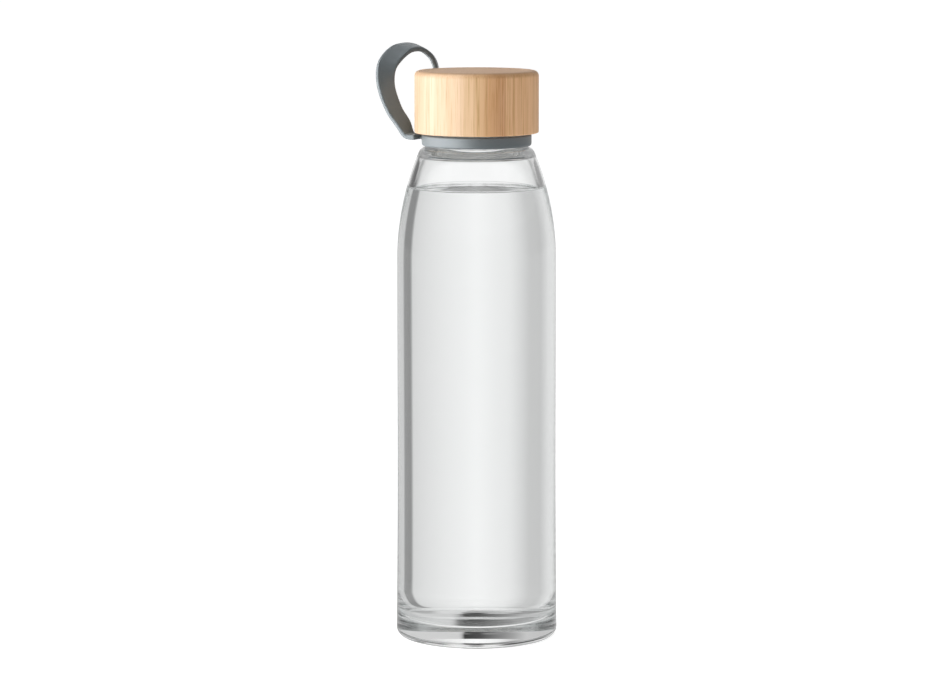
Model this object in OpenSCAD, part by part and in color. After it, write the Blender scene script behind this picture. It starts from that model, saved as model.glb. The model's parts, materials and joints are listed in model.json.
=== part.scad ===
// Glass water bottle with a screwed bamboo lid and a silicone carrying strap.
// Millimetres. Z is up, the origin is the middle of the foot, where the bottle stands.

/* [Bottle] */
// Diameter of the straight upper body
body_d = 64.6; // [52:0.1:90]
// How much the body's radius has grown where it meets the heel
heel_flare = 0.6; // [0:0.1:2]
// Height over which the body flares out towards the heel
flare_h = 95; // [40:1:140]
// Height of the shoulder's top, where the neck starts
neck_z = 200.5; // [165:0.5:260]
// Height of the shoulder, from where the body starts to curve in
shoulder_h = 46.5; // [30:0.5:60]
// Radius of the rounded corner between shoulder and neck
shoulder_corner_r = 4; // [2:0.5:6]
// Flat land around the foot of the neck
shoulder_land = 1.5; // [1:0.1:4]
// Thickness of the glass wall
wall = 2.3; // [1.5:0.1:4]
// Thickness of the glass under the collar
shoulder_t = 3.6; // [2.6:0.1:6]
// Rounding of the inside corner between shoulder and ceiling
inner_corner_r = 2.5; // [1:0.1:4]
// Rounding of the mouth's lower edge
mouth_fillet = 2; // [0.5:0.1:3]

/* [Foot] */
// Thickness of the glass foot at its edge
foot_t = 8; // [4:0.5:14]
// Rounding of the heel
heel_r = 3.5; // [1.5:0.1:6]
// Width of the ring that the bottle stands on
foot_ring_w = 4; // [2:0.5:8]
// Rise of the underside in the middle
push_up = 1.5; // [0.5:0.1:4]
// Rounding between the inner wall and the floor
floor_corner_r = 5; // [2:0.5:8]
// Rise of the inner floor in the middle
floor_dome = 1; // [0.2:0.1:3]

/* [Neck and thread] */
// Diameter of the neck between the thread's turns
neck_d = 36.6; // [30:0.1:46]
// Thickness of the glass neck
neck_wall = 2.8; // [2.2:0.1:4]
// Rounding of the rim
rim_r = 1; // [0.4:0.1:1.2]
// Rise of the thread in one turn
thread_lead = 4; // [3:0.1:5]
// Height of the thread above the neck
thread_t = 1.2; // [0.8:0.1:1.6]
// Turns of thread on the neck
neck_turns = 1.5; // [1:0.1:2]
// Plain neck between the lid's lower edge and the thread's start
thread_start = 5; // [4:0.1:8]
// Plain neck between the thread's end and the rim
thread_end = 5.5; // [4:0.1:8]
// Turns of thread in the lid's liner
liner_turns = 1.25; // [0.75:0.05:1.5]
// Room between a thread's crest and the wall that it faces
thread_clear = 0.5; // [0.3:0.1:1]

/* [Lid] */
// Thickness of the bamboo around the liner
bamboo_wall = 3.55; // [2.5:0.05:6]
// Thickness of the bamboo over the liner
bamboo_top = 5.1; // [3:0.1:9]
// Rounding of the lid's top edge
lid_edge_r = 2.2; // [0.5:0.1:3]
// Rounding of the lid's lower edge
lid_foot_r = 0.6; // [0.2:0.1:1]
// Wall of the plastic liner
liner_wall = 1.5; // [1:0.1:2.5]
// Thickness of the liner's roof
liner_roof = 1.5; // [1:0.1:3]
// How far the liner's rim lies inside the bamboo
liner_inset = 0.5; // [0.2:0.1:1.5]
// Glue gap between liner and bamboo
glue_gap = 0.05; // [0.03:0.01:0.1]
// Thickness of the silicone gasket
gasket_t = 2; // [1:0.1:3]
// How far the gasket reaches in over the mouth
gasket_lip = 0.5; // [0:0.1:1]
// Room between the gasket and the liner's wall
gasket_clear = 0.2; // [0.1:0.05:0.5]

/* [Strap] */
// Height of the collar around the neck
collar_h = 4.6; // [3.5:0.1:7]
// Radial thickness of the collar
collar_wall = 3.3; // [2.2:0.1:5]
// Room between the collar and the neck
collar_clear = 0.6; // [0.4:0.1:1]
// Room over the collar, under the lid
lid_gap = 0.6; // [0.3:0.1:1.5]
// Room under the collar, over the shoulder
land_gap = 0.3; // [0.2:0.1:0.6]
// Direction in which the loop stands out, from +X
strap_angle = 158; // [0:1:359]
// Width of the strap
strap_w = 8; // [6:0.5:10]
// Thickness of the strap
strap_t = 2.2; // [1.6:0.1:2.8]
// Distance between the middles of the strap's two legs
leg_gap = 18.5; // [15:0.5:24]
// Gap between the loop's ends and the stubs that they fold on
hinge_gap = 0.3; // [0.2:0.05:0.6]

/* [Hidden] */

body_r = body_d / 2;
neck_r = neck_d / 2;
mouth_r = neck_r - neck_wall;
inner_r = body_r - wall;
shoulder_z = neck_z - shoulder_h;
foot_out_r = flared_r(heel_r) - heel_r;
foot_in_r = foot_out_r - foot_ring_w;
ceiling_z = neck_z - shoulder_t;
neck_fillet = 0.6;

// The shoulder is one long arc, tangent to the body below and to the rounded corner above.
corner_x = neck_r + shoulder_land;
shoulder_rise = neck_z - shoulder_corner_r - shoulder_z;
shoulder_in = body_r - corner_x;
shoulder_arc_r = (pow(shoulder_in, 2) + pow(shoulder_rise, 2) - pow(shoulder_corner_r, 2))
    / (2 * (shoulder_in - shoulder_corner_r));
shoulder_c = [body_r - shoulder_arc_r, shoulder_z];
shoulder_end = asin(shoulder_rise / (shoulder_arc_r - shoulder_corner_r));
inner_rise = ceiling_z - inner_corner_r - shoulder_z;
inner_end = asin(inner_rise / (shoulder_arc_r - wall - inner_corner_r));
inner_corner_x = shoulder_c[0] + (shoulder_arc_r - wall - inner_corner_r) * cos(inner_end);

collar_z = neck_z + land_gap;
collar_in_r = neck_r + collar_clear;
collar_out_r = collar_in_r + collar_wall;
lid_z = collar_z + collar_h + lid_gap;
thread_z = lid_z + thread_start;
rim_z = thread_z + neck_turns * thread_lead + thread_end;
liner_z = lid_z + liner_inset;
liner_in_r = neck_r + thread_t + thread_clear;
liner_out_r = liner_in_r + liner_wall;
roof_z = rim_z + gasket_t;
lid_r = liner_out_r + glue_gap + bamboo_wall;
lid_top_z = roof_z + liner_roof + bamboo_top;

// Both threads are one helix, the liner's a little lower, so that it pulls on the neck's underside.
// A ridge's two widths are at its wall and at its crest.
flank_gap = 0.4 * thread_lead;
neck_ridge_w = [2.2, 1];
liner_ridge_w = [1.4, 0.7];

// The legs leave the collar side by side, and each has its hinge just past a short stub.
leg_y = leg_gap / 2;
leg_in_y = leg_y - strap_w / 2;
leg_out_y = leg_y + strap_w / 2;
stub_reach = 0.23;
stub_x = sqrt(pow(collar_out_r, 2) - pow(leg_in_y, 2)) + stub_reach;
hinge_x = stub_x + hinge_gap + strap_t / 2;
hinge_z = collar_z + collar_h - strap_t / 2;

function arc(c, r, from, to, n) =
    [for (i = [0:n]) let (t = from + (to - from) * i / n) [c[0] + r * cos(t), c[1] + r * sin(t)]];

function flared_r(z) = body_r + heel_flare * pow(max(0, 1 - z / flare_h), 2);

// A shallow curve from [0, rise] on the axis down to [r, 0].
function dome(r, rise, z, n) =
    let (big = (r * r + rise * rise) / (2 * rise), half = asin(r / big))
    [for (i = [0:n]) let (t = half * i / n) [big * sin(t), z + rise - big * (1 - cos(t))]];

function reversed(points) = [for (i = [len(points) - 1:-1:0]) points[i]];

// ---- glass ----

module glass_outline() {
    flare = [for (i = [1:7]) let (z = heel_r + (flare_h - heel_r) * i / 7) [flared_r(z), z]];
    polygon(concat(
        dome(foot_in_r, push_up, 0, 6),
        arc([foot_out_r, heel_r], heel_r, -90, 0, 6),
        flare,
        arc(shoulder_c, shoulder_arc_r, 0, shoulder_end, 12),
        arc([corner_x, neck_z - shoulder_corner_r], shoulder_corner_r, shoulder_end, 90, 6),
        arc([neck_r + neck_fillet, neck_z + neck_fillet], neck_fillet, -90, -180, 3),
        arc([neck_r - rim_r, rim_z - rim_r], rim_r, 0, 90, 4),
        arc([mouth_r + rim_r, rim_z - rim_r], rim_r, 90, 180, 4),
        arc([mouth_r + mouth_fillet, ceiling_z + mouth_fillet], mouth_fillet, 180, 270, 4),
        arc([inner_corner_x, ceiling_z - inner_corner_r], inner_corner_r, 90, inner_end, 5),
        reversed(arc(shoulder_c, shoulder_arc_r - wall, 0, inner_end, 12)),
        arc([inner_r - floor_corner_r, foot_t + floor_corner_r], floor_corner_r, 0, -90, 6),
        reversed(dome(inner_r - floor_corner_r, floor_dome, foot_t, 5))
    ));
}

// A thread ridge on a wall of radius root_r, up to crest_r, its ends running out into the wall.
// widths is [at the wall, at the crest]; the ridge is sunk into the wall so that they join.
module thread_ridge(root_r, crest_r, widths, z0, turns) {
    per_turn = 32;
    n = ceil(turns * per_turn);
    run_out = 4;
    sink = 0.25;
    side = sign(crest_r - root_r);
    rings = [for (i = [0:n])
        let (
            fade = min(1, (i + 0.3) / run_out, (n - i + 0.3) / run_out),
            r = root_r + (crest_r - root_r) * fade,
            wide = widths[0] / 2 * (0.4 + 0.6 * fade),
            narrow = widths[1] / 2 * (0.4 + 0.6 * fade),
            t = 360 * turns * i / n,
            z = z0 + thread_lead * turns * i / n
        )
        for (p = [[root_r - side * sink, -wide], [r, -narrow], [r, narrow], [root_r - side * sink, wide]])
            [p[0] * cos(t), p[0] * sin(t), z + p[1]]];
    first = [0, 1, 2, 3];
    last = [4 * n + 3, 4 * n + 2, 4 * n + 1, 4 * n];
    sides = [for (i = [0:n - 1], k = [0:3]) let (a = 4 * i + k, b = 4 * i + (k + 1) % 4)
        [a, a + 4, b + 4, b]];
    faces = concat([first, last], sides);
    polyhedron(rings, side < 0 ? faces : [for (f = faces) reversed(f)]);
}

module glass_bottle() {
    color([0.86, 0.92, 0.91, 0.4])
    union() {
        rotate_extrude($fn = 96) glass_outline();
        thread_ridge(neck_r, neck_r + thread_t, neck_ridge_w, thread_z, neck_turns);
    }
}

// ---- lid ----

module gasket() {
    out_r = liner_in_r - gasket_clear;
    in_r = mouth_r - gasket_lip;
    bevel = 0.3;
    color([0.9, 0.9, 0.9])
    rotate_extrude($fn = 96)
    polygon([
        [in_r + bevel, rim_z], [out_r - bevel, rim_z], [out_r, rim_z + bevel], [out_r, roof_z - bevel],
        [out_r - bevel, roof_z], [in_r + bevel, roof_z], [in_r, roof_z - bevel], [in_r, rim_z + bevel]
    ]);
}

module lid_liner() {
    lead_in = 0.6;
    bevel = 0.4;
    color([0.93, 0.93, 0.91])
    union() {
        rotate_extrude($fn = 96)
        polygon([
            [0, roof_z], [liner_in_r, roof_z], [liner_in_r, liner_z + lead_in],
            [liner_in_r + lead_in, liner_z], [liner_out_r, liner_z],
            [liner_out_r, roof_z + liner_roof - bevel], [liner_out_r - bevel, roof_z + liner_roof],
            [0, roof_z + liner_roof]
        ]);
        rotate([0, 0, 90])
        thread_ridge(liner_in_r, liner_in_r - thread_t, liner_ridge_w,
            thread_z - flank_gap + thread_lead / 4, liner_turns);
    }
}

module bamboo_lid() {
    bore_r = liner_out_r + glue_gap;
    bore_top = roof_z + liner_roof + glue_gap;
    color([0.89, 0.75, 0.56])
    rotate_extrude($fn = 96)
    polygon(concat(
        arc([lid_r - lid_edge_r, lid_top_z - lid_edge_r], lid_edge_r, 90, 0, 6),
        arc([lid_r - lid_foot_r, lid_z + lid_foot_r], lid_foot_r, 0, -90, 3),
        arc([bore_r + lid_foot_r, lid_z + lid_foot_r], lid_foot_r, -90, -180, 3),
        [[bore_r, bore_top], [0, bore_top], [0, lid_top_z]]
    ));
}

// ---- strap ----

// Middle line of the loop: each leg runs straight out from its hinge, and between the legs
// [beyond the lid's side, turn from the loop's middle, height above the hinge].
loop_places = [
    [3.1, 19.4, 1.9], [4.9, 18.6, 5.5], [8.4, 18.2, 11], [11.4, 19.5, 19.9], [11.5, 17, 27.5], [9.2, 9, 32.3],
    [6.9, -3, 35.1], [7, -21, 34.6], [7.2, -34, 29.9], [6.2, -36, 22.9], [5, -28, 11], [3.1, -19.4, 2.3]
];
// Direction across the strap at the same places, from its outer edge to its inner edge.
loop_across = [
    [-0.16, -0.97, 0.06], [-0.34, -0.93, 0.12], [-0.4, -0.9, 0.16], [-0.56, -0.82, 0.08], [-0.8, -0.55, -0.1],
    [-0.95, 0, -0.45], [-0.95, 0.21, -0.25], [-0.8, 0.6, -0.2], [-0.36, 0.93, -0.05], [-0.33, 0.94, 0],
    [-0.12, 1, 0], [0, 1, 0]
];

function loop_point(p) =
    [(lid_r + p[0]) * cos(p[1]), (lid_r + p[0]) * sin(p[1]), hinge_z + p[2]];

leg_end_x = max(hinge_x + 2, lid_r + 0.1);
leg_rise = 0.4;

function leg_points(side) =
    [[hinge_x, side * leg_y, hinge_z], [leg_end_x, side * leg_y, hinge_z + leg_rise]];

middle_line = concat(leg_points(1), [for (p = loop_places) loop_point(p)], reversed(leg_points(-1)));
across_line = concat([[0, -1, 0], [-0.06, -1, 0.03]], loop_across, [[0, 1, 0], [0, 1, 0]]);

// Smooth curve through points, with n steps from each one to the next.
function curve(points, n) =
    let (
        m = len(points),
        p = concat([2 * points[0] - points[1]], points, [2 * points[m - 1] - points[m - 2]])
    )
    [for (i = [0:m - 2], k = [0:i == m - 2 ? n : n - 1])
        let (u = k / n, a = p[i], b = p[i + 1], c = p[i + 2], d = p[i + 3])
        (2 * b + u * (c - a) + u * u * (2 * a - 5 * b + 4 * c - d) + u * u * u * (3 * b - a - 3 * c + d)) / 2];

function unit(v) = v / norm(v);

function heading(points, i) =
    unit(points[min(i + 1, len(points) - 1)] - points[max(i - 1, 0)]);

// Outline of the strap's cross-section: [across, through], with rounded edges.
function strap_section(w, t) =
    let (r = 0.7)
    [for (q = [[1, 1], [-1, 1], [-1, -1], [1, -1]], k = [0:2])
        let (turn = (q[0] * q[1] > 0 ? k : 2 - k) * 45)
        [q[0] * (w / 2 - r + r * cos(turn)), q[1] * (t / 2 - r + r * sin(turn))]];

// One ring of the loop: the section set square to the middle line, thinned by a factor.
function loop_ring(at, ahead, across, thin) =
    let (side = unit(across - (across * ahead) * ahead), up = cross(side, ahead))
    [for (s = strap_section(strap_w, strap_t)) at + s[0] * side + s[1] * thin * up];

module loop_body() {
    centres = curve(middle_line, 4);
    sides = curve(across_line, 4);
    n = len(centres) - 1;
    // Half-round ends, about the hinge's own axis.
    end_turns = [80, 50, 20];
    start_rings = [for (t = end_turns)
        loop_ring(centres[0] - [strap_t / 2 * sin(t), 0, 0], [1, 0, 0], sides[0], cos(t))];
    end_rings = [for (t = reversed(end_turns))
        loop_ring(centres[n] - [strap_t / 2 * sin(t), 0, 0], [-1, 0, 0], sides[n], cos(t))];
    middle_rings = [for (i = [0:n])
        loop_ring(centres[i], i == 0 ? [1, 0, 0] : i == n ? [-1, 0, 0] : heading(centres, i), sides[i], 1)];
    rings = concat(start_rings, middle_rings, end_rings);
    m = len(rings[0]);
    last = len(rings) - 1;
    points = [for (ring = rings) for (p = ring) p];
    walls = [for (i = [0:last - 1], k = [0:m - 1]) let (a = i * m + k, b = i * m + (k + 1) % m)
        [a, b, b + m, a + m]];
    caps = [[for (k = [m - 1:-1:0]) k], [for (k = [0:m - 1]) last * m + k]];
    polyhedron(points, concat(walls, caps));
}

// A short straight stub of the strap, moulded onto the collar, that stops just short of the hinge.
module collar_stub(side) {
    root_r = collar_in_r + collar_wall * 0.45;
    translate([0, 0, hinge_z - strap_t / 2])
    linear_extrude(strap_t)
    polygon([
        [sqrt(pow(root_r, 2) - pow(leg_in_y, 2)), side * leg_in_y], [stub_x, side * leg_in_y],
        [stub_x, side * leg_out_y], [sqrt(pow(root_r, 2) - pow(leg_out_y, 2)), side * leg_out_y]
    ]);
}

module strap_collar() {
    low_r = 0.9;
    edge = 0.4;
    top = collar_z + collar_h;
    color([0.47, 0.5, 0.51])
    rotate([0, 0, strap_angle])
    union() {
        rotate_extrude($fn = 96)
        polygon(concat(
            arc([collar_out_r - low_r, collar_z + low_r], low_r, -90, 0, 4),
            arc([collar_out_r - edge, top - edge], edge, 0, 90, 2),
            [[collar_in_r + edge, top], [collar_in_r, top - edge]],
            [[collar_in_r, collar_z + edge], [collar_in_r + edge, collar_z]]
        ));
        collar_stub(1);
        collar_stub(-1);
    }
}

module strap_loop() {
    color([0.42, 0.45, 0.46])
    rotate([0, 0, strap_angle]) loop_body();
}

glass_bottle();
gasket();
lid_liner();
bamboo_lid();
strap_collar();
strap_loop();
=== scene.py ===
import json
import math

import bmesh
import bpy
import numpy as np
from mathutils import Matrix, Vector

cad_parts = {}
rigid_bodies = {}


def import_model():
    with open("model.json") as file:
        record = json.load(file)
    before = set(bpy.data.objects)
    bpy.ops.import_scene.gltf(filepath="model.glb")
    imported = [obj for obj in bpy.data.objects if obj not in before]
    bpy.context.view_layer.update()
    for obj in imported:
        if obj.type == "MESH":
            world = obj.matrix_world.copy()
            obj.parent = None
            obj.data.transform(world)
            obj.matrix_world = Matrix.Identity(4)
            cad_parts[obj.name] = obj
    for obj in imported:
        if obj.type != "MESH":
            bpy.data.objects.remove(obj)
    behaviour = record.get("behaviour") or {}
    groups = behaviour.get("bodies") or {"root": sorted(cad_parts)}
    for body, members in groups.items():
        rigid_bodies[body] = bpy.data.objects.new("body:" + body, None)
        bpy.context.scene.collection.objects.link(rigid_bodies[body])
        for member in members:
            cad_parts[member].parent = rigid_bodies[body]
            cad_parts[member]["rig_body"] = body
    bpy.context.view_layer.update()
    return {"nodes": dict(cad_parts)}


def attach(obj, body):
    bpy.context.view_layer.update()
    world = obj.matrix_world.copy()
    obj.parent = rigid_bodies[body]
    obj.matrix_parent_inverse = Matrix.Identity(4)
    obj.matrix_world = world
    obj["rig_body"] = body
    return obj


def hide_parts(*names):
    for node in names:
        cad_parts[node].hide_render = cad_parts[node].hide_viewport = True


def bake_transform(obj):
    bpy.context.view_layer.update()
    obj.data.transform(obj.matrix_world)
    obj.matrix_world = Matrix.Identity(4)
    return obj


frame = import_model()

MM = 0.001
STEPS = 192

# Sizes shared by the pieces, in millimetres, as in the part's source.
BODY_R = 32.27
HEEL_FLARE = 0.6
FLARE_H = 95
WALL = 2.3
HEEL_R = 3.5
FOOT_RING_W = 4
PUSH_UP = 1.5
FLOOR_CORNER_R = 5
FLOOR_DOME = 1
SHOULDER_Z = 154
SHOULDER_CORNER_R = 4
SHOULDER_LAND = 1.5
INNER_CORNER_R = 2.5
MOUTH_FILLET = 2
NECK_FILLET = 0.6
RIM_R = 1
NECK_Z = 200.5
NECK_R = 18.3
MOUTH_R = 15.5
RIM_Z = 222.5
CEILING_Z = 196.9
FLOOR_Z = 8
WATER_Z = 183
WATER_OVERLAP = 0.06
THREAD_LEAD = 4
THREAD_HEIGHT = 1.2
THREAD_Z = 211
NECK_TURNS = 1.5
LINER_TURNS = 1.25
FLANK_GAP = 1.6
LINER_IN_R = 20
LINER_OUT_R = 21.5
LINER_Z = 206.5
ROOF_Z = 224.5
LINER_ROOF = 1.5
GLUE_GAP = 0.05
LID_R = 25.1
LID_Z = 206
LID_TOP_Z = 231.1
LID_EDGE_R = 2.2
LID_FOOT_R = 0.6
COLLAR_Z = 200.8
COLLAR_TOP = 205.4
COLLAR_IN_R = 18.9
COLLAR_OUT_R = 22.2
STRAP_ANGLE = math.radians(158)
STRAP_W = 8
STRAP_T = 2.1
LEG_GAP = 18.5
HINGE_X = 23.2
HINGE_Z = 204.3
LEG_REACH = 0.1
LEG_RISE = 0.4


# ---------------------------------------------------------------- profiles

def arc(centre, radius, start, end, steps):
    """Points on an arc, the angles in degrees."""
    turns = [math.radians(start + (end - start) * i / steps) for i in range(steps + 1)]
    return [(centre[0] + radius * math.cos(t), centre[1] + radius * math.sin(t)) for t in turns]


def dome(radius, rise, height, steps):
    """A shallow curve from the axis, where it is highest, down to the radius."""
    big = (radius * radius + rise * rise) / (2 * rise)
    half = math.asin(radius / big)
    turns = [half * i / steps for i in range(steps + 1)]
    return [(big * math.sin(t), height + rise - big * (1 - math.cos(t))) for t in turns]


def flared_r(z):
    return BODY_R + HEEL_FLARE * max(0, 1 - z / FLARE_H) ** 2


# ---------------------------------------------------------------- modelling tools

DOUBLES = 2e-6


def start_afresh():
    if bpy.context.object and bpy.context.object.mode != "OBJECT":
        bpy.ops.object.mode_set(mode="OBJECT")
    bpy.ops.object.select_all(action="DESELECT")


def make_active(piece):
    start_afresh()
    piece.select_set(True)
    bpy.context.view_layer.objects.active = piece


def draw_outline(name, points):
    """A line through points (radius, height), drawn by extruding one vertex along it."""
    start_afresh()
    bpy.ops.mesh.primitive_plane_add(size=MM)
    piece = bpy.context.object
    piece.name = name
    piece.data.name = name
    bpy.ops.object.mode_set(mode="EDIT")
    bpy.ops.mesh.select_all(action="SELECT")
    bpy.ops.mesh.merge(type="CENTER")
    bpy.ops.transform.translate(value=(points[0][0] * MM, 0, points[0][1] * MM))
    for a, b in zip(points, points[1:]):
        step = ((b[0] - a[0]) * MM, 0, (b[1] - a[1]) * MM)
        bpy.ops.mesh.extrude_vertices_move(TRANSFORM_OT_translate={"value": step})
    bpy.ops.object.mode_set(mode="OBJECT")
    return piece


def turned(name, points):
    """A piece turned on the lathe from its outline."""
    piece = draw_outline(name, points)
    bpy.ops.object.mode_set(mode="EDIT")
    bpy.ops.mesh.select_all(action="SELECT")
    bpy.ops.mesh.spin(steps=STEPS, angle=math.tau, center=(0, 0, 0), axis=(0, 0, 1))
    close_up()
    bpy.ops.object.mode_set(mode="OBJECT")
    return piece


def close_up():
    """Merges doubles and points the faces outwards, in edit mode."""
    bpy.ops.mesh.select_all(action="SELECT")
    bpy.ops.mesh.remove_doubles(threshold=DOUBLES)
    bpy.ops.mesh.select_all(action="SELECT")
    bpy.ops.mesh.normals_make_consistent(inside=False)
    if bmesh.from_edit_mesh(bpy.context.object.data).calc_volume(signed=True) < 0:
        bpy.ops.mesh.flip_normals()


def smooth(piece, angle=None):
    make_active(piece)
    if angle is None:
        bpy.ops.object.shade_smooth()
    else:
        bpy.ops.object.shade_smooth_by_angle(angle=math.radians(angle))


def apply_modifier(piece, kind, **settings):
    make_active(piece)
    modifier = piece.modifiers.new(kind.lower(), kind)
    for key, value in settings.items():
        setattr(modifier, key, value)
    bpy.ops.object.modifier_apply(modifier=modifier.name)


def fuse(piece, other):
    """Joins another solid onto a piece, as one skin."""
    apply_modifier(piece, "BOOLEAN", operation="UNION", solver="EXACT", object=other)
    bpy.data.objects.remove(other)


def thread_ridge(name, root_r, crest_r, widths, z0, turns, start_turn=0.0):
    """A helical ridge that runs out into the wall at both ends. Its widths are at wall and crest."""
    side = 1 if crest_r > root_r else -1
    sink = 0.25
    sunk = root_r - side * sink
    wide, narrow = widths[0] / 2, widths[1] / 2
    section = [(sunk, -wide), (crest_r, -narrow), (crest_r, narrow), (sunk, wide), (sunk, -wide)]
    ridge = draw_outline(name, [(r, z + z0) for r, z in section])
    per_turn = 48
    run_out = 8
    lowest = 0.06
    count = int(turns * per_turn)
    apply_modifier(ridge, "SCREW", angle=math.tau * turns, screw_offset=THREAD_LEAD * turns * MM,
                   steps=count, render_steps=count, axis="Z", use_merge_vertices=False)
    for v in ridge.data.vertices:
        radius = math.hypot(v.co.x, v.co.y) / MM
        if abs(radius - crest_r) > 0.05:
            continue
        along = ((v.co.z / MM - z0) / THREAD_LEAD) * per_turn
        from_ends = (min(along, count - along) + 0.8) / run_out
        fade = min(1, max(lowest, from_ends))
        k = (root_r + (crest_r - root_r) * math.sin(fade * math.pi / 2)) / radius
        v.co.x *= k
        v.co.y *= k
    bpy.ops.object.mode_set(mode="EDIT")
    bpy.ops.mesh.select_all(action="SELECT")
    bpy.ops.mesh.remove_doubles(threshold=DOUBLES)
    bpy.ops.mesh.select_all(action="DESELECT")
    bpy.ops.mesh.select_non_manifold()
    bpy.ops.mesh.fill()
    close_up()
    bpy.ops.object.mode_set(mode="OBJECT")
    if start_turn:
        ridge.data.transform(Matrix.Rotation(start_turn, 4, "Z"))
    return ridge


# ---------------------------------------------------------------- glass bottle and water

foot_out_r = flared_r(HEEL_R) - HEEL_R
foot_in_r = foot_out_r - FOOT_RING_W
corner_x = NECK_R + SHOULDER_LAND
corner_z = NECK_Z - SHOULDER_CORNER_R
shoulder_rise = corner_z - SHOULDER_Z
shoulder_in = BODY_R - corner_x
shoulder_arc_r = ((shoulder_in ** 2 + shoulder_rise ** 2 - SHOULDER_CORNER_R ** 2)
                  / (2 * (shoulder_in - SHOULDER_CORNER_R)))
shoulder_c = (BODY_R - shoulder_arc_r, SHOULDER_Z)
shoulder_end = math.degrees(math.asin(shoulder_rise / (shoulder_arc_r - SHOULDER_CORNER_R)))
inner_r = BODY_R - WALL
inner_arc_r = shoulder_arc_r - WALL
inner_corner_z = CEILING_Z - INNER_CORNER_R
inner_end = math.degrees(math.asin((inner_corner_z - SHOULDER_Z) / (inner_arc_r - INNER_CORNER_R)))
inner_corner_x = shoulder_c[0] + (inner_arc_r - INNER_CORNER_R) * math.cos(math.radians(inner_end))
floor_r = inner_r - FLOOR_CORNER_R

glass_outline = (
    dome(foot_in_r, PUSH_UP, 0, 14)
    + arc((foot_out_r, HEEL_R), HEEL_R, -90, 0, 12)
    + [(flared_r(z), z) for z in np.linspace(HEEL_R + 4, FLARE_H, 16)]
    + arc(shoulder_c, shoulder_arc_r, 0, shoulder_end, 26)
    + arc((corner_x, corner_z), SHOULDER_CORNER_R, shoulder_end, 90, 12)[1:]
    + arc((NECK_R + NECK_FILLET, NECK_Z + NECK_FILLET), NECK_FILLET, -90, -180, 5)
    + arc((NECK_R - RIM_R, RIM_Z - RIM_R), RIM_R, 0, 90, 7)
    + arc((MOUTH_R + RIM_R, RIM_Z - RIM_R), RIM_R, 90, 180, 7)
    + arc((MOUTH_R + MOUTH_FILLET, CEILING_Z + MOUTH_FILLET), MOUTH_FILLET, 180, 270, 8)
    + arc((inner_corner_x, inner_corner_z), INNER_CORNER_R, 90, inner_end, 10)
    + arc(shoulder_c, inner_arc_r, 0, inner_end, 26)[::-1][1:]
    + arc((floor_r, FLOOR_Z + FLOOR_CORNER_R), FLOOR_CORNER_R, 0, -90, 14)
    + dome(floor_r, FLOOR_DOME, FLOOR_Z, 14)[::-1][1:]
)
glass = turned("glass_bottle_blown", glass_outline)
fuse(glass, thread_ridge("neck_thread", NECK_R, NECK_R + THREAD_HEIGHT, (2.2, 1.0), THREAD_Z, NECK_TURNS))
smooth(glass, 40)
glass.visible_shadow = False
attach(glass, "bottle")
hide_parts("glass_bottle")


def inner_wall_r(z):
    """Radius of the inner wall at a height above the floor's corner."""
    if z <= SHOULDER_Z:
        return inner_r
    return shoulder_c[0] + math.sqrt(inner_arc_r ** 2 - (z - SHOULDER_Z) ** 2)


# The water reaches a little into the glass, so no film of air lies between them, and climbs at the wall.
climb = 1.1
edge_r = inner_wall_r(WATER_Z)
floor_corner = arc((floor_r, FLOOR_Z + FLOOR_CORNER_R), FLOOR_CORNER_R, -90, 0, 14)
surface = [(0, WATER_Z), (12, WATER_Z), (19, WATER_Z)]
surface += [(edge_r - d, WATER_Z + climb * math.exp(-d)) for d in (4, 3, 2.2, 1.6, 1.1, 0.7, 0.4, 0.15)]
water_outline = (
    [(r, z - WATER_OVERLAP) for r, z in dome(floor_r, FLOOR_DOME, FLOOR_Z, 14)]
    + [(r + WATER_OVERLAP * 0.7, z - WATER_OVERLAP * 0.7) for r, z in floor_corner[1:]]
    + [(inner_wall_r(z) + WATER_OVERLAP, z) for z in np.linspace(20, SHOULDER_Z, 10)]
    + [(inner_wall_r(z) + WATER_OVERLAP, z) for z in np.linspace(SHOULDER_Z + 2, WATER_Z + 1.2, 18)]
    + surface[::-1]
)
water = turned("water", water_outline)
smooth(water, 60)
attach(water, "bottle")


# ---------------------------------------------------------------- lid

bore_r = LINER_OUT_R + GLUE_GAP
bore_top = ROOF_Z + LINER_ROOF + GLUE_GAP
lid_outline = (
    [(0, LID_TOP_Z), (12, LID_TOP_Z)]
    + arc((LID_R - LID_EDGE_R, LID_TOP_Z - LID_EDGE_R), LID_EDGE_R, 90, 0, 12)
    + [(LID_R, 219), (LID_R, 212)]
    + arc((LID_R - LID_FOOT_R, LID_Z + LID_FOOT_R), LID_FOOT_R, 0, -90, 5)
    + arc((bore_r + LID_FOOT_R, LID_Z + LID_FOOT_R), LID_FOOT_R, -90, -180, 5)
    + [(bore_r, bore_top), (0, bore_top)]
)
lid = turned("bamboo_cap", lid_outline)
smooth(lid, 40)
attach(lid, "lid")
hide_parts("bamboo_lid")

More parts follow.
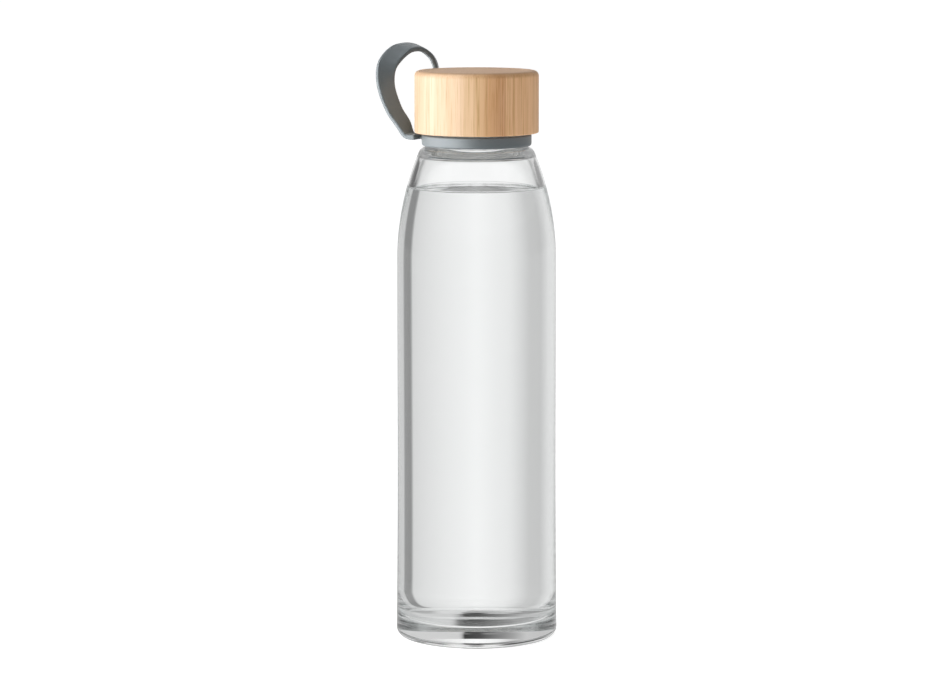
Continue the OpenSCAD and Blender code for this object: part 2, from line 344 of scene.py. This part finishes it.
liner_outline = (
    [(0, ROOF_Z), (LINER_IN_R - 0.5, ROOF_Z)]
    + arc((LINER_IN_R - 0.5, ROOF_Z - 0.5), 0.5, 90, 0, 4)
    + [(LINER_IN_R, LINER_Z + 0.7), (LINER_IN_R + 0.2, LINER_Z + 0.25), (LINER_IN_R + 0.6, LINER_Z)]
    + arc((LINER_OUT_R - 0.2, LINER_Z + 0.2), 0.2, -90, 0, 3)
    + arc((LINER_OUT_R - 0.4, ROOF_Z + LINER_ROOF - 0.4), 0.4, 0, 90, 4)
    + [(0, ROOF_Z + LINER_ROOF)]
)
liner = turned("screw_liner", liner_outline)
fuse(liner, thread_ridge("liner_thread", LINER_IN_R, LINER_IN_R - THREAD_HEIGHT, (1.4, 0.7),
                         THREAD_Z - FLANK_GAP + THREAD_LEAD / 4, LINER_TURNS, math.pi / 2))
smooth(liner, 35)
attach(liner, "lid")
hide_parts("lid_liner")

# A flat ring with rounded edges and a shallow groove where it meets the rim.
seal_edge = 0.5
seal_in, seal_out = 15.5, 19.3
seal_outline = (
    arc((seal_in, RIM_Z + seal_edge), seal_edge, 180, 270, 4)
    + [(16.6, RIM_Z), (16.75, RIM_Z + 0.15), (17.15, RIM_Z + 0.15), (17.3, RIM_Z)]
    + arc((seal_out, RIM_Z + seal_edge), seal_edge, 270, 360, 4)
    + arc((seal_out, ROOF_Z - seal_edge), seal_edge, 0, 90, 4)
    + arc((seal_in, ROOF_Z - seal_edge), seal_edge, 90, 180, 4)
)
seal = turned("rim_seal", seal_outline + seal_outline[:1])
smooth(seal, 40)
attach(seal, frame["nodes"]["gasket"]["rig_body"])
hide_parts("gasket")


# ---------------------------------------------------------------- strap

# The loop's middle line: beyond the lid's side, turn from the loop's middle, height above the hinge.
LOOP_PLACES = [
    (3.1, 19.4, 1.9), (4.9, 18.6, 5.5), (8.4, 18.2, 11), (11.4, 19.5, 19.9), (11.5, 17, 27.5), (9.2, 9, 32.3),
    (6.9, -3, 35.1), (7, -21, 34.6), (7.2, -34, 29.9), (6.2, -36, 22.9), (5, -28, 11), (3.1, -19.4, 2.3),
]
# Direction across the strap at the same places.
LOOP_ACROSS = [
    (-0.16, -0.97, 0.06), (-0.34, -0.93, 0.12), (-0.4, -0.9, 0.16), (-0.56, -0.82, 0.08), (-0.8, -0.55, -0.1),
    (-0.95, 0, -0.45), (-0.95, 0.21, -0.25), (-0.8, 0.6, -0.2), (-0.36, 0.93, -0.05), (-0.33, 0.94, 0),
    (-0.12, 1, 0), (0, 1, 0),
]


def loop_point(place):
    turn = math.radians(place[1])
    return ((LID_R + place[0]) * math.cos(turn), (LID_R + place[0]) * math.sin(turn), HINGE_Z + place[2])


def leg_points(side):
    y = side * LEG_GAP / 2
    root_x = HINGE_X - 1.5
    return [(root_x, y, HINGE_Z), (HINGE_X, y, HINGE_Z), (LID_R + LEG_REACH, y, HINGE_Z + LEG_RISE)]


def smooth_curve(points, steps):
    """A smooth curve through points, with so many steps from each one to the next."""
    p = [2 * np.array(points[0]) - np.array(points[1])] + [np.array(q, float) for q in points]
    p.append(2 * p[-1] - p[-2])
    found = []
    for a, b, c, d in zip(p, p[1:], p[2:], p[3:]):
        for k in range(steps):
            u = k / steps
            found.append((2 * b + u * (c - a) + u * u * (2 * a - 5 * b + 4 * c - d)
                          + u ** 3 * (3 * b - a - 3 * c + d)) / 2)
    found.append(p[-2])
    return np.array(found)


def strap_section(width, thickness, radius=0.75, steps=5):
    """Cross-section of the strap with rounded edges: (across, through)."""
    found = []
    for sx, sy, start in ((1, 1, 0), (-1, 1, 90), (-1, -1, 180), (1, -1, 270)):
        centre = (sx * (width / 2 - radius), sy * (thickness / 2 - radius))
        found += arc(centre, radius, start, start + 90, steps)
    return found


def strap_loop():
    """The moulded loop: a rounded section swept along the middle line and turned with it."""
    places = leg_points(1) + [loop_point(p) for p in LOOP_PLACES] + leg_points(-1)[::-1]
    across = [(0, -1, 0), (0, -1, 0), (-0.06, -1, 0.03)] + LOOP_ACROSS + [(0, 1, 0), (0, 1, 0), (0, 1, 0)]
    centres = smooth_curve(places, 10)
    sides = smooth_curve(across, 10)
    section = strap_section(STRAP_W, STRAP_T)
    points = []
    for i, (centre, side) in enumerate(zip(centres, sides)):
        ahead = centres[min(i + 1, len(centres) - 1)] - centres[max(i - 1, 0)]
        ahead /= np.linalg.norm(ahead)
        side = side - side.dot(ahead) * ahead
        side /= np.linalg.norm(side)
        up = np.cross(side, ahead)
        points += [(centre + a * side + t * up) * MM for a, t in section]
    n = len(section)
    rings = len(centres)
    faces = [(i * n + k, i * n + (k + 1) % n, (i + 1) * n + (k + 1) % n, (i + 1) * n + k)
             for i in range(rings - 1) for k in range(n)]
    faces += [tuple(range(n)), tuple((rings - 1) * n + k for k in range(n))]
    mesh = bpy.data.meshes.new("strap")
    mesh.from_pydata([tuple(p) for p in points], [], faces)
    mesh.update()
    loop = bpy.data.objects.new("strap", mesh)
    bpy.context.scene.collection.objects.link(loop)
    make_active(loop)
    bpy.ops.object.mode_set(mode="EDIT")
    close_up()
    bpy.ops.object.mode_set(mode="OBJECT")
    loop.data.transform(Matrix.Rotation(STRAP_ANGLE, 4, "Z"))
    return loop


foot_edge, top_edge, bore_edge = 0.9, 0.5, 0.4
collar_outline = (
    arc((COLLAR_OUT_R - foot_edge, COLLAR_Z + foot_edge), foot_edge, -90, 0, 8)
    + arc((COLLAR_OUT_R - top_edge, COLLAR_TOP - top_edge), top_edge, 0, 90, 5)
    + arc((COLLAR_IN_R + bore_edge, COLLAR_TOP - bore_edge), bore_edge, 90, 180, 4)
    + arc((COLLAR_IN_R + bore_edge, COLLAR_Z + bore_edge), bore_edge, 180, 270, 4)
)
strap = strap_loop()
collar = turned("collar_ring", collar_outline + collar_outline[:1])
fuse(strap, collar)
# Remeshing makes the loop and the collar one moulded skin, and smoothing rounds where they meet.
skin_size = 0.32
apply_modifier(strap, "REMESH", mode="VOXEL", voxel_size=skin_size * MM)
apply_modifier(strap, "LAPLACIANSMOOTH", iterations=6, lambda_factor=0.35, use_volume_preserve=True)
smooth(strap)
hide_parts("strap_collar", "strap_loop")
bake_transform(strap)


# ---------------------------------------------------------------- materials

class Recipe:
    """Adds and links shader nodes in one tree. Inputs are given by name, or by number as i0, i1 and so on."""

    def __init__(self, tree):
        self.tree = tree

    def add(self, kind, settings=None, **values):
        node = self.tree.nodes.new(kind)
        for key, value in (settings or {}).items():
            setattr(node, key, value)
        for key, value in values.items():
            numbered = key[0] == "i" and key[1:].isdigit()
            self.feed(value, node.inputs[int(key[1:]) if numbered else key.replace("_", " ")])
        return node

    def feed(self, value, socket):
        if isinstance(value, bpy.types.NodeSocket):
            self.tree.links.new(value, socket)
        else:
            socket.default_value = value

    def maths(self, operation, a, b=0.0, c=None):
        node = self.add("ShaderNodeMath", {"operation": operation}, i0=a, i1=b)
        if c is not None:
            self.feed(c, node.inputs[2])
        return node.outputs[0]

    def mix(self, factor, a, b):
        node = self.add("ShaderNodeMix", {"data_type": "RGBA"})
        for value, index in ((factor, 0), (a, 6), (b, 7)):
            self.feed(value, node.inputs[index])
        return node.outputs[2]

    def ramp(self, value, stops):
        """A colour ramp. A stop's colour is three numbers, or one number for a grey."""
        node = self.add("ShaderNodeValToRGB", i0=value)
        while len(node.color_ramp.elements) < len(stops):
            node.color_ramp.elements.new(1.0)
        for element, (place, colour) in zip(node.color_ramp.elements, stops):
            element.position = place
            element.color = (*colour, 1) if isinstance(colour, tuple) else (colour, colour, colour, 1)
        return node.outputs[0]

    def noise(self, vector, scale, detail=3.0, roughness=0.5):
        return self.add("ShaderNodeTexNoise", Vector=vector, Scale=scale, Detail=detail,
                        Roughness=roughness).outputs["Fac"]


def new_group(name, inputs, outputs):
    group = bpy.data.node_groups.new(name, "ShaderNodeTree")
    for label, kind, value in inputs:
        socket = group.interface.new_socket(label, in_out="INPUT", socket_type=kind)
        if value is not None:
            socket.default_value = value
    for label, kind in outputs:
        group.interface.new_socket(label, in_out="OUTPUT", socket_type=kind)
    recipe = Recipe(group)
    return group, recipe, group.nodes.new("NodeGroupInput"), group.nodes.new("NodeGroupOutput")


def new_material(name):
    material = bpy.data.materials.new(name)
    material.use_nodes = True
    recipe = Recipe(material.node_tree)
    return material, recipe, material.node_tree.nodes["Principled BSDF"]


def object_place(recipe):
    return recipe.add("ShaderNodeTexCoord").outputs["Object"]


def use_group(recipe, group, **values):
    node = recipe.add("ShaderNodeGroup", {"node_tree": group})
    for key, value in values.items():
        recipe.feed(value, node.inputs[key.replace("_", " ")])
    return node


def moulded_skin_group():
    """Fine texture, faint mottling and handling dust of a moulded rubber or plastic."""
    group, r, given, result = new_group("moulded skin", [
        ("Place", "NodeSocketVector", None), ("Colour", "NodeSocketColor", (0.5, 0.5, 0.5, 1)),
        ("Mottle", "NodeSocketFloat", 0.05), ("Dust", "NodeSocketFloat", 0.1),
        ("Roughness", "NodeSocketFloat", 0.4), ("Grain Size", "NodeSocketFloat", 4000.0),
    ], [("Colour", "NodeSocketColor"), ("Roughness", "NodeSocketFloat"), ("Height", "NodeSocketFloat")])
    place = given.outputs["Place"]
    broad = r.noise(place, 60.0, 4.0)
    fine = r.noise(place, given.outputs["Grain Size"], 2.0)
    specks = r.ramp(r.noise(place, 900.0, 5.0, 0.7), [(0.62, 0), (0.78, 1)])
    shade = r.maths("MULTIPLY_ADD", r.maths("SUBTRACT", broad, 0.5), given.outputs["Mottle"], 1.0)
    bright = r.add("ShaderNodeHueSaturation", Color=given.outputs["Colour"], Value=shade).outputs[0]
    dusty = r.mix(r.maths("MULTIPLY", specks, given.outputs["Dust"]), bright, (0.7, 0.7, 0.68, 1))
    rough = r.maths("MULTIPLY_ADD", r.maths("SUBTRACT", broad, 0.5), 0.16, given.outputs["Roughness"])
    rough = r.maths("MULTIPLY_ADD", specks, r.maths("MULTIPLY", given.outputs["Dust"], 0.3), rough)
    r.feed(dusty, result.inputs["Colour"])
    r.feed(rough, result.inputs["Roughness"])
    r.feed(fine, result.inputs["Height"])
    return group


def bump(recipe, height, depth, strength=1.0):
    return recipe.add("ShaderNodeBump", Height=height, Distance=depth, Strength=strength).outputs["Normal"]


def bamboo_finish():
    """Laminated bamboo: upright strips of differing tone, long fine fibres, pores on the end grain, some
    painted shade.
    """
    material, r, shader = new_material("laminated bamboo")
    place = object_place(r)
    x, y, z = r.add("ShaderNodeSeparateXYZ", Vector=place).outputs
    # Strips are thin across X and deep along Y, glued in rows that are staggered.
    strip_w, strip_d, stagger = 0.0052, 0.019, 0.0021
    row = r.maths("FLOOR", r.maths("DIVIDE", y, strip_d))
    in_strips = r.maths("DIVIDE", r.maths("MULTIPLY_ADD", row, stagger, x), strip_w)
    across = r.maths("FRACT", in_strips)
    key = r.add("ShaderNodeCombineXYZ", X=r.maths("FLOOR", in_strips), Y=row).outputs[0]
    tone = r.add("ShaderNodeTexWhiteNoise", {"noise_dimensions": "3D"}, Vector=key).outputs["Value"]
    own = r.maths("MULTIPLY", tone, 3.7)
    grain_z = r.maths("ADD", r.maths("MULTIPLY", z, 0.018), own)
    long_place = r.add("ShaderNodeCombineXYZ", X=x, Y=y, Z=grain_z).outputs[0]
    fibres = r.noise(long_place, 2300.0, 3.0, 0.62)
    streaks = r.noise(long_place, 640.0, 3.0, 0.6)
    bands = r.noise(long_place, 190.0, 2.0, 0.5)
    # Pale strips on one side of the block, then browner ones up to a joint: partly the strips' own tone,
    # partly painted shade, browner away from the lit side.
    block = r.maths("MULTIPLY_ADD", x, 20.0, 0.5)
    base = r.ramp(block, [
        (0.0, (0.62, 0.45, 0.3)), (0.15, (0.6, 0.443, 0.305)), (0.36, (0.6, 0.42, 0.265)),
        (0.44, (0.68, 0.465, 0.275)), (0.52, (0.73, 0.48, 0.27)), (0.6, (0.66, 0.38, 0.19)),
        (0.725, (0.58, 0.31, 0.15)), (0.735, (0.7, 0.42, 0.22)), (0.85, (0.75, 0.455, 0.25)),
        (1.0, (0.78, 0.48, 0.27)),
    ])
    shade = r.maths("MULTIPLY_ADD", r.maths("SUBTRACT", tone, 0.5), 0.1, 1.0)
    shade = r.maths("MULTIPLY_ADD", r.maths("SUBTRACT", bands, 0.5), 0.22, shade)
    shade = r.maths("MULTIPLY_ADD", r.ramp(streaks, [(0.5, 0), (0.72, 1)]), -0.16, shade)
    shade = r.maths("MULTIPLY_ADD", r.ramp(fibres, [(0.52, 0), (0.7, 1)]), -0.3, shade)
    richness = r.maths("MULTIPLY_ADD", r.maths("SUBTRACT", 1.0, shade), 0.7, 1.0)
    base = r.add("ShaderNodeHueSaturation", Color=base, Value=shade, Saturation=richness).outputs[0]
    joint = r.ramp(across, [(0.0, 1), (0.03, 0), (0.97, 0), (1.0, 1)])
    base = r.mix(r.maths("MULTIPLY", joint, 0.45), base, (0.4, 0.22, 0.1, 1))
    # The rounded top edge is browner; end grain on the flat top is dull and darker, partly as end grain and
    # partly as painted shade, with the cut ends of the fibres.
    edge_low, edge_top = (LID_TOP_Z - 2.5) * MM, LID_TOP_Z * MM
    up_edge = r.add("ShaderNodeMapRange", Value=z, i1=edge_low, i2=edge_top).outputs[0]
    on_top = r.ramp(up_edge, [(0.7, 0), (0.97, 1)])
    on_edge = r.ramp(up_edge, [(0.0, 0), (0.5, 0.5), (1.0, 0.6)])
    base = r.mix(on_edge, base, (0.44, 0.25, 0.12, 1))
    flat_place = r.add("ShaderNodeCombineXYZ", X=x, Y=y, Z=own).outputs[0]
    pores = r.add("ShaderNodeTexVoronoi", {"feature": "F1"}, Vector=flat_place, Scale=1300.0)
    dots = r.ramp(pores.outputs["Distance"], [(0.1, 1), (0.34, 0)])
    # Painted shade in part: the flat top is made darker than the sides.
    end_grain_and_painted_shade = r.mix(0.75, base, (0.37, 0.235, 0.145, 1))
    end = r.mix(r.maths("MULTIPLY", dots, 0.6), end_grain_and_painted_shade, (0.2, 0.12, 0.06, 1))
    cut_ends = r.maths("MULTIPLY", r.maths("MULTIPLY", dots, on_top), 0.8)
    height = r.maths("SUBTRACT", r.maths("MULTIPLY", fibres, -0.6), r.maths("ADD", joint, cut_ends))
    r.feed(r.mix(on_top, base, end), shader.inputs["Base Color"])
    r.feed(r.maths("MULTIPLY_ADD", streaks, 0.22, 0.34), shader.inputs["Roughness"])
    r.feed(bump(r, height, 0.00006, 0.5), shader.inputs["Normal"])
    shader.inputs["Specular IOR Level"].default_value = 0.35
    shader.inputs["Coat Weight"].default_value = 0.12
    shader.inputs["Coat Roughness"].default_value = 0.3
    return material


skin = moulded_skin_group()


def silicone_finish(name, colour, roughness, mottle, dust, sheen):
    material, r, shader = new_material(name)
    texture = use_group(r, skin, Place=object_place(r), Colour=(*colour, 1), Mottle=mottle, Dust=dust,
                        Roughness=roughness, Grain_Size=5200.0)
    r.feed(texture.outputs["Colour"], shader.inputs["Base Color"])
    r.feed(texture.outputs["Roughness"], shader.inputs["Roughness"])
    r.feed(bump(r, texture.outputs["Height"], 0.00001, 0.5), shader.inputs["Normal"])
    shader.inputs["IOR"].default_value = 1.43
    shader.inputs["Sheen Weight"].default_value = sheen
    shader.inputs["Sheen Roughness"].default_value = 0.5
    return material


def clear_finish(name, colour, ior, wave_size, wave_depth):
    """Glass or water: clear, faintly tinted, with the slight waves of its surface."""
    material, r, shader = new_material(name)
    place = object_place(r)
    tint = r.mix(r.noise(place, 18.0, 1.0), (*colour, 1), tuple(min(1, c * 1.012) for c in colour) + (1,))
    r.feed(tint, shader.inputs["Base Color"])
    waves = r.noise(place, wave_size, 1.0, 0.4)
    r.feed(bump(r, waves, wave_depth, 1.0), shader.inputs["Normal"])
    shader.inputs["Roughness"].default_value = 0.0
    shader.inputs["IOR"].default_value = ior
    shader.inputs["Transmission Weight"].default_value = 1.0
    return material


def put(material, *pieces):
    for piece in pieces:
        piece.data.materials.clear()
        piece.data.materials.append(material)


put(clear_finish("clear glass", (0.985, 0.992, 0.99), 1.52, 30.0, 0.00004), glass)
put(clear_finish("still water", (0.99, 0.995, 0.995), 1.333, 12.0, 0.00001), water)
put(bamboo_finish(), lid)
put(silicone_finish("grey strap silicone", (0.125, 0.145, 0.155), 0.4, 0.16, 0.05, 0.15), strap)
put(silicone_finish("clear white seal silicone", (0.74, 0.75, 0.74), 0.35, 0.08, 0.05, 0.1), seal)
put(silicone_finish("white liner plastic", (0.78, 0.78, 0.75), 0.3, 0.06, 0.06, 0.0), liner)


# ---------------------------------------------------------------- studio

def studio_floor():
    start_afresh()
    bpy.ops.mesh.primitive_plane_add(size=80)
    floor = bpy.context.object
    floor.name = "studio_floor"
    material, _, shader = new_material("white floor")
    shader.inputs["Base Color"].default_value = (0.86, 0.86, 0.86, 1)
    shader.inputs["Roughness"].default_value = 0.9
    shader.inputs["Specular IOR Level"].default_value = 0.0
    shader.inputs["Emission Color"].default_value = (1, 1, 1, 1)
    shader.inputs["Emission Strength"].default_value = 0.75
    put(material, floor)
    floor.visible_transmission = False
    floor.visible_glossy = False


def studio_world():
    world = bpy.data.worlds.new("studio")
    bpy.context.scene.world = world
    world.use_nodes = True
    r = Recipe(world.node_tree)
    out = world.node_tree.nodes["World Output"]
    back = world.node_tree.nodes["Background"]
    direction = r.add("ShaderNodeTexCoord").outputs["Generated"]
    x, y, z = r.add("ShaderNodeSeparateXYZ", Vector=direction).outputs
    around = r.maths("MULTIPLY_ADD", r.maths("ARCTAN2", x, y), 1 / math.tau, 0.5)

    def room(*stops):
        """The room's brightness by the turn in degrees, 0 being straight behind the bottle."""
        return r.ramp(around, [(0.5 + degrees / 360, brightness) for degrees, brightness in stops])

    seen = room((-180, 0.3), (-110, 0.35), (-60, 0.85), (-45, 0.9), (-31, 0.6), (-22, 0.64), (-12, 0.92),
                (0, 1.05), (14, 0.9), (31, 0.72), (33, 0.2), (42, 0.2), (45, 0.65), (60, 0.75),
                (110, 0.35), (180, 0.3))
    # Level with the shoulder the two sides of the room are darker than the backdrop.
    beside = room((-180, 0.3), (-110, 0.35), (-60, 0.5), (-44, 0.06), (-17, 0.06), (-12, 0.85), (12, 0.85),
                  (17, 0.2), (50, 0.2), (110, 0.35), (180, 0.3))
    # Just above is a narrow dark opening, which the water's surface mirrors.
    opening = room((-180, 0.35), (-60, 0.5), (-46, 0.06), (-14, 0.06), (-9, 0.9), (-3.6, 0.9), (-2.2, 0.05),
                   (1.5, 0.06), (3.2, 0.3), (4.5, 0.8), (12, 0.8), (18, 0.25), (50, 0.3), (180, 0.35))
    # Higher still the opening is wider, and the base mirrors it.
    above = room((-180, 0.45), (-50, 0.55), (-28, 0.6), (-18, 0.35), (-2, 0.06), (6, 0.02), (7.5, 0.65),
                 (50, 0.65), (180, 0.45))
    level = r.maths("MULTIPLY_ADD", z, 2.0, 0.5)
    seen = r.mix(r.ramp(level, [(0.37, 0), (0.41, 1)]), seen, beside)
    seen = r.mix(r.ramp(level, [(0.635, 0), (0.66, 1)]), seen, opening)
    seen = r.mix(r.ramp(level, [(0.76, 0), (0.8, 1)]), seen, above)
    mirrored = room((-180, 0.3), (-90, 0.5), (-45, 0.6), (0, 0.8), (50, 0.8), (90, 0.25), (180, 0.3))
    sheen = room((-180, 0.3), (-165, 2.5), (-134, 11), (-96, 10), (-48, 0.8), (-15, 0.6), (50, 0.35),
                 (90, 0.12), (180, 0.15))
    ambient = room((-180, 0.25), (-90, 0.6), (0, 0.4), (90, 0.12), (180, 0.25))
    # Each kind of ray sees its own room: off matt pieces, off satin ones, off the glass, and through it.
    # Past the pieces the camera sees plain white.
    rays = r.add("ShaderNodeLightPath").outputs
    mixed = r.mix(rays["Is Glossy Ray"], ambient, sheen)
    mixed = r.mix(rays["Is Singular Ray"], mixed, mirrored)
    mixed = r.mix(rays["Is Transmission Ray"], mixed, seen)
    mixed = r.mix(rays["Is Camera Ray"], mixed, (1.2, 1.2, 1.2, 1))
    r.feed(mixed, back.inputs["Color"])
    back.inputs["Strength"].default_value = 1.0


def softbox(name, place, target, size, power):
    light = bpy.data.lights.new(name, "AREA")
    light.shape = "RECTANGLE"
    light.size, light.size_y = size
    light.energy = power
    box = bpy.data.objects.new(name, light)
    box.location = place
    box.rotation_euler = (Vector(target) - Vector(place)).to_track_quat("-Z", "Y").to_euler()
    bpy.context.scene.collection.objects.link(box)
    box.visible_camera = False
    box.visible_glossy = False
    box.visible_transmission = False


def camera():
    data = bpy.data.cameras.new("camera")
    data.lens = 138.9
    data.sensor_width = 36
    data.clip_end = 200
    view = bpy.data.objects.new("camera", data)
    view.location = (-0.00065, -1.4776, 0.3122)
    view.rotation_euler = (math.radians(82.494), 0, 0)
    bpy.context.scene.collection.objects.link(view)
    bpy.context.scene.camera = view


def neck_glow():
    """The light that real glass carries up into the neck."""
    light = bpy.data.lights.new("neck glow", "POINT")
    light.energy = 0.018
    light.shadow_soft_size = 0.008
    glow = bpy.data.objects.new("neck glow", light)
    glow.location = (0, 0, 0.192)
    bpy.context.scene.collection.objects.link(glow)
    for ray in ("camera", "glossy", "transmission"):
        setattr(glow, "visible_" + ray, False)


camera()
neck_glow()
studio_floor()
studio_world()
softbox("left softbox", (-1.15, -0.15, 0.45), (0, 0, 0.15), (1.2, 1.0), 14)
softbox("overhead softbox", (0.1, 0.1, 1.5), (0, 0, 0.1), (1.2, 1.2), 6)
bpy.context.scene.view_settings.view_transform = "Standard"
# Light crosses many glass and water surfaces, and runs far along inside the wall, before it is used up.
cycles = bpy.context.scene.cycles
cycles.max_bounces = cycles.transmission_bounces = cycles.glossy_bounces = 120
